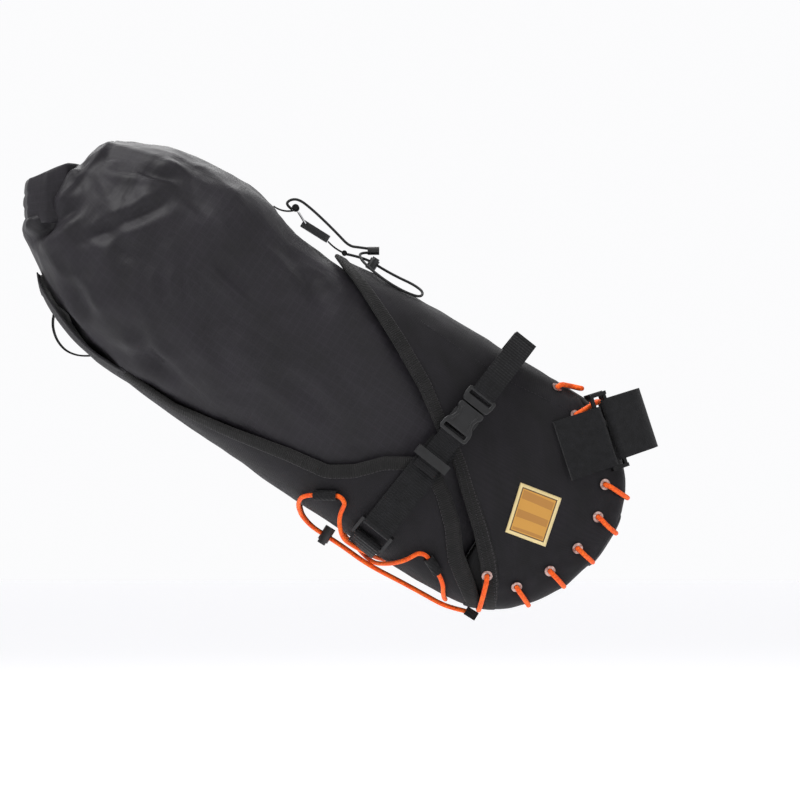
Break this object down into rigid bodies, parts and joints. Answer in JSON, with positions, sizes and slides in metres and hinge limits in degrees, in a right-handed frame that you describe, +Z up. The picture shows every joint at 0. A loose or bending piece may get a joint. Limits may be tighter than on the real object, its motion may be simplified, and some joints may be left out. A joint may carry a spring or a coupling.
{
  "type": "saddle bag",
  "caption": "Laced saddle-bag holster with seat-post and saddle-rail straps, holding a tapered roll-top dry bag that slides out rearwards",
  "frame": {"origin": "seat-post axis, at the middle of the seat-post strap", "axes": "+X towards the saddle nose, +Y left, +Z up; the seat post leans back 18 degrees about Y and the bag rises rearwards at 32 degrees"},
  "size_m": [0.5144, 0.1616, 0.39],
  "materials": {
    "bag_fabric": "coated ripstop, matt",
    "holster_fabric": "coated woven nylon, matt",
    "binding_tape": "ribbed binding tape",
    "webbing": "woven webbing",
    "hook_loop_tape": "brushed hook and loop tape",
    "orange_elastic": "braided elastic cord",
    "black_elastic": "braided elastic cord",
    "eyelet_metal": "plated, worn",
    "label_patch": "woven patch, smooth",
    "bright_wire": "drawn wire",
    "black_metal": "black coated",
    "moulded_plastic": "moulded acetal"
  },
  "bodies": {
    "holster": {"anchor_tab_left": "hook_loop_tape", "anchor_tab_right": "hook_loop_tape", "cheek_binding": "binding_tape", "cheek_panel_left": "holster_fabric", "cheek_panel_right": "holster_fabric", "cord_end": "moulded_plastic", "cord_tabs": "webbing", "cradle_binding": "binding_tape", "cradle_panel": "holster_fabric", "eyelets": "eyelet_metal", "front_tape": "webbing", "label_patch": "label_patch", "lacing_cord": "orange_elastic", "long_cord": "black_elastic", "nose_gusset": "holster_fabric", "post_ring_left": "black_metal", "post_ring_right": "black_metal", "ring_tab_left": "webbing", "ring_tab_right": "webbing", "seat_post_strap": "hook_loop_tape", "tail_cord": "black_elastic", "top_bar": "black_metal", "top_buckle": "moulded_plastic", "top_lock_barrel": "moulded_plastic", "top_lock_spring": "bright_wire", "top_panel": "holster_fabric", "top_tape": "webbing", "underside_cord": "orange_elastic", "underside_lock_barrel": "moulded_plastic", "underside_lock_spring": "bright_wire"},
    "dry_bag": {"dry_bag": "bag_fabric", "closure_roll": "bag_fabric", "closure_socket": "moulded_plastic", "closure_plug": "moulded_plastic"},
    "closure_prong_upper": {"closure_prong_upper": "moulded_plastic"},
    "closure_prong_lower": {"closure_prong_lower": "moulded_plastic"},
    "tongue": {"cradle_tongue": "holster_fabric", "tongue_loop": "webbing"},
    "wire_hook": {"wire_hook": "bright_wire"},
    "underside_plunger": {"underside_lock_plunger": "moulded_plastic"},
    "top_plunger": {"top_lock_plunger": "moulded_plastic"},
    "strap_right": {"strap_ring_right": "black_metal", "lower_webbing_right": "webbing", "adjuster_webbing_right": "webbing", "strap_keeper_right": "moulded_plastic", "buckle_socket_right": "moulded_plastic"},
    "plug_right": {"buckle_plug_right": "moulded_plastic", "upper_webbing_right": "webbing"},
    "prong_front_right": {"buckle_prong_front_right": "moulded_plastic"},
    "prong_rear_right": {"buckle_prong_rear_right": "moulded_plastic"},
    "strap_left": {"strap_ring_left": "black_metal", "lower_webbing_left": "webbing", "adjuster_webbing_left": "webbing", "strap_keeper_left": "moulded_plastic", "buckle_socket_left": "moulded_plastic"},
    "plug_left": {"buckle_plug_left": "moulded_plastic", "upper_webbing_left": "webbing"},
    "prong_front_left": {"buckle_prong_front_left": "moulded_plastic"},
    "prong_rear_left": {"buckle_prong_rear_left": "moulded_plastic"}
  },
  "joints": [
    {"name": "dry_bag_slide", "type": "slide", "parent": "holster", "child": "dry_bag", "axis": [-0.8262, 0, 0.5634], "range_m": [0, 0.36]},
    {"name": "tongue_fold", "type": "hinge", "parent": "holster", "child": "tongue", "pos_m": [-0.41421, 0, 0.0395], "axis": [0, -1, 0], "range_deg": [0, 42]},
    {"name": "wire_hook_swing", "type": "hinge", "parent": "holster", "child": "wire_hook", "pos_m": [-0.2639, 0, 0.16549], "axis": [0, 1, 0], "range_deg": [0, 20]},
    {"name": "underside_lock_press", "type": "slide", "parent": "holster", "child": "underside_plunger", "axis": [0.5299, 0, 0.848], "range_m": [0, 0.0025], "stiffness_N_per_m": 400, "springref_m": -0.002, "deforming": ["underside_lock_spring"]},
    {"name": "top_lock_press", "type": "slide", "parent": "holster", "child": "top_plunger", "axis": [-0.5299, 0, -0.848], "range_m": [0, 0.0015], "stiffness_N_per_m": 400, "springref_m": -0.002, "deforming": ["top_lock_spring"]},
    {"name": "closure_prong_upper_squeeze", "type": "hinge", "parent": "dry_bag", "child": "closure_prong_upper", "pos_m": [-0.4835, 0.0029, 0.1943], "axis": [-1, 0, 0], "range_deg": [0, 8], "stiffness_Nm_per_rad": 0.5, "springref_deg": -2.86},
    {"name": "closure_prong_lower_squeeze", "type": "hinge", "parent": "dry_bag", "child": "closure_prong_lower", "pos_m": [-0.4835, 0.0029, 0.1777], "axis": [1, 0, 0], "range_deg": [0, 8], "stiffness_Nm_per_rad": 0.5, "springref_deg": -2.86},
    {"name": "strap_right_swing", "type": "hinge", "parent": "holster", "child": "strap_right", "pos_m": [-0.21286, -0.04135, -0.09048], "axis": [0.784, 0, -0.6207], "range_deg": [0, 30]},
    {"name": "buckle_right_release", "type": "slide", "parent": "strap_right", "child": "plug_right", "axis": [0.6177, 0.0993, 0.7802], "range_m": [0, 0.022]},
    {"name": "prong_front_right_squeeze", "type": "hinge", "parent": "plug_right", "child": "prong_front_right", "pos_m": [-0.13533, -0.06865, 0.02082], "axis": [0.0617, -0.9951, 0.0779], "range_deg": [0, 8], "stiffness_Nm_per_rad": 0.5, "springref_deg": -2.86},
    {"name": "prong_rear_right_squeeze", "type": "hinge", "parent": "plug_right", "child": "prong_rear_right", "pos_m": [-0.12231, -0.06865, 0.01052], "axis": [-0.0617, 0.9951, -0.0779], "range_deg": [0, 8], "stiffness_Nm_per_rad": 0.5, "springref_deg": -2.86},
    {"name": "strap_left_swing", "type": "hinge", "parent": "holster", "child": "strap_left", "pos_m": [-0.21286, 0.04135, -0.09048], "axis": [-0.784, 0, 0.6207], "range_deg": [0, 30]},
    {"name": "buckle_left_release", "type": "slide", "parent": "strap_left", "child": "plug_left", "axis": [0.6177, -0.0993, 0.7802], "range_m": [0, 0.022]},
    {"name": "prong_front_left_squeeze", "type": "hinge", "parent": "plug_left", "child": "prong_front_left", "pos_m": [-0.13533, 0.06865, 0.02082], "axis": [-0.0617, -0.9951, -0.0779], "range_deg": [0, 8], "stiffness_Nm_per_rad": 0.5, "springref_deg": -2.86},
    {"name": "prong_rear_left_squeeze", "type": "hinge", "parent": "plug_left", "child": "prong_rear_left", "pos_m": [-0.12231, 0.06865, 0.01052], "axis": [0.0617, 0.9951, 0.0779], "range_deg": [0, 8], "stiffness_Nm_per_rad": 0.5, "springref_deg": -2.86}
  ],
  "couplings": [
    {"joint": "tongue_fold", "follows": "dry_bag_slide", "rad_per_m": 2},
    {"joint": "closure_prong_lower_squeeze", "follows": "closure_prong_upper_squeeze", "ratio": 1},
    {"joint": "prong_rear_right_squeeze", "follows": "prong_front_right_squeeze", "ratio": 1},
    {"joint": "prong_rear_left_squeeze", "follows": "prong_front_left_squeeze", "ratio": 1}
  ]
}
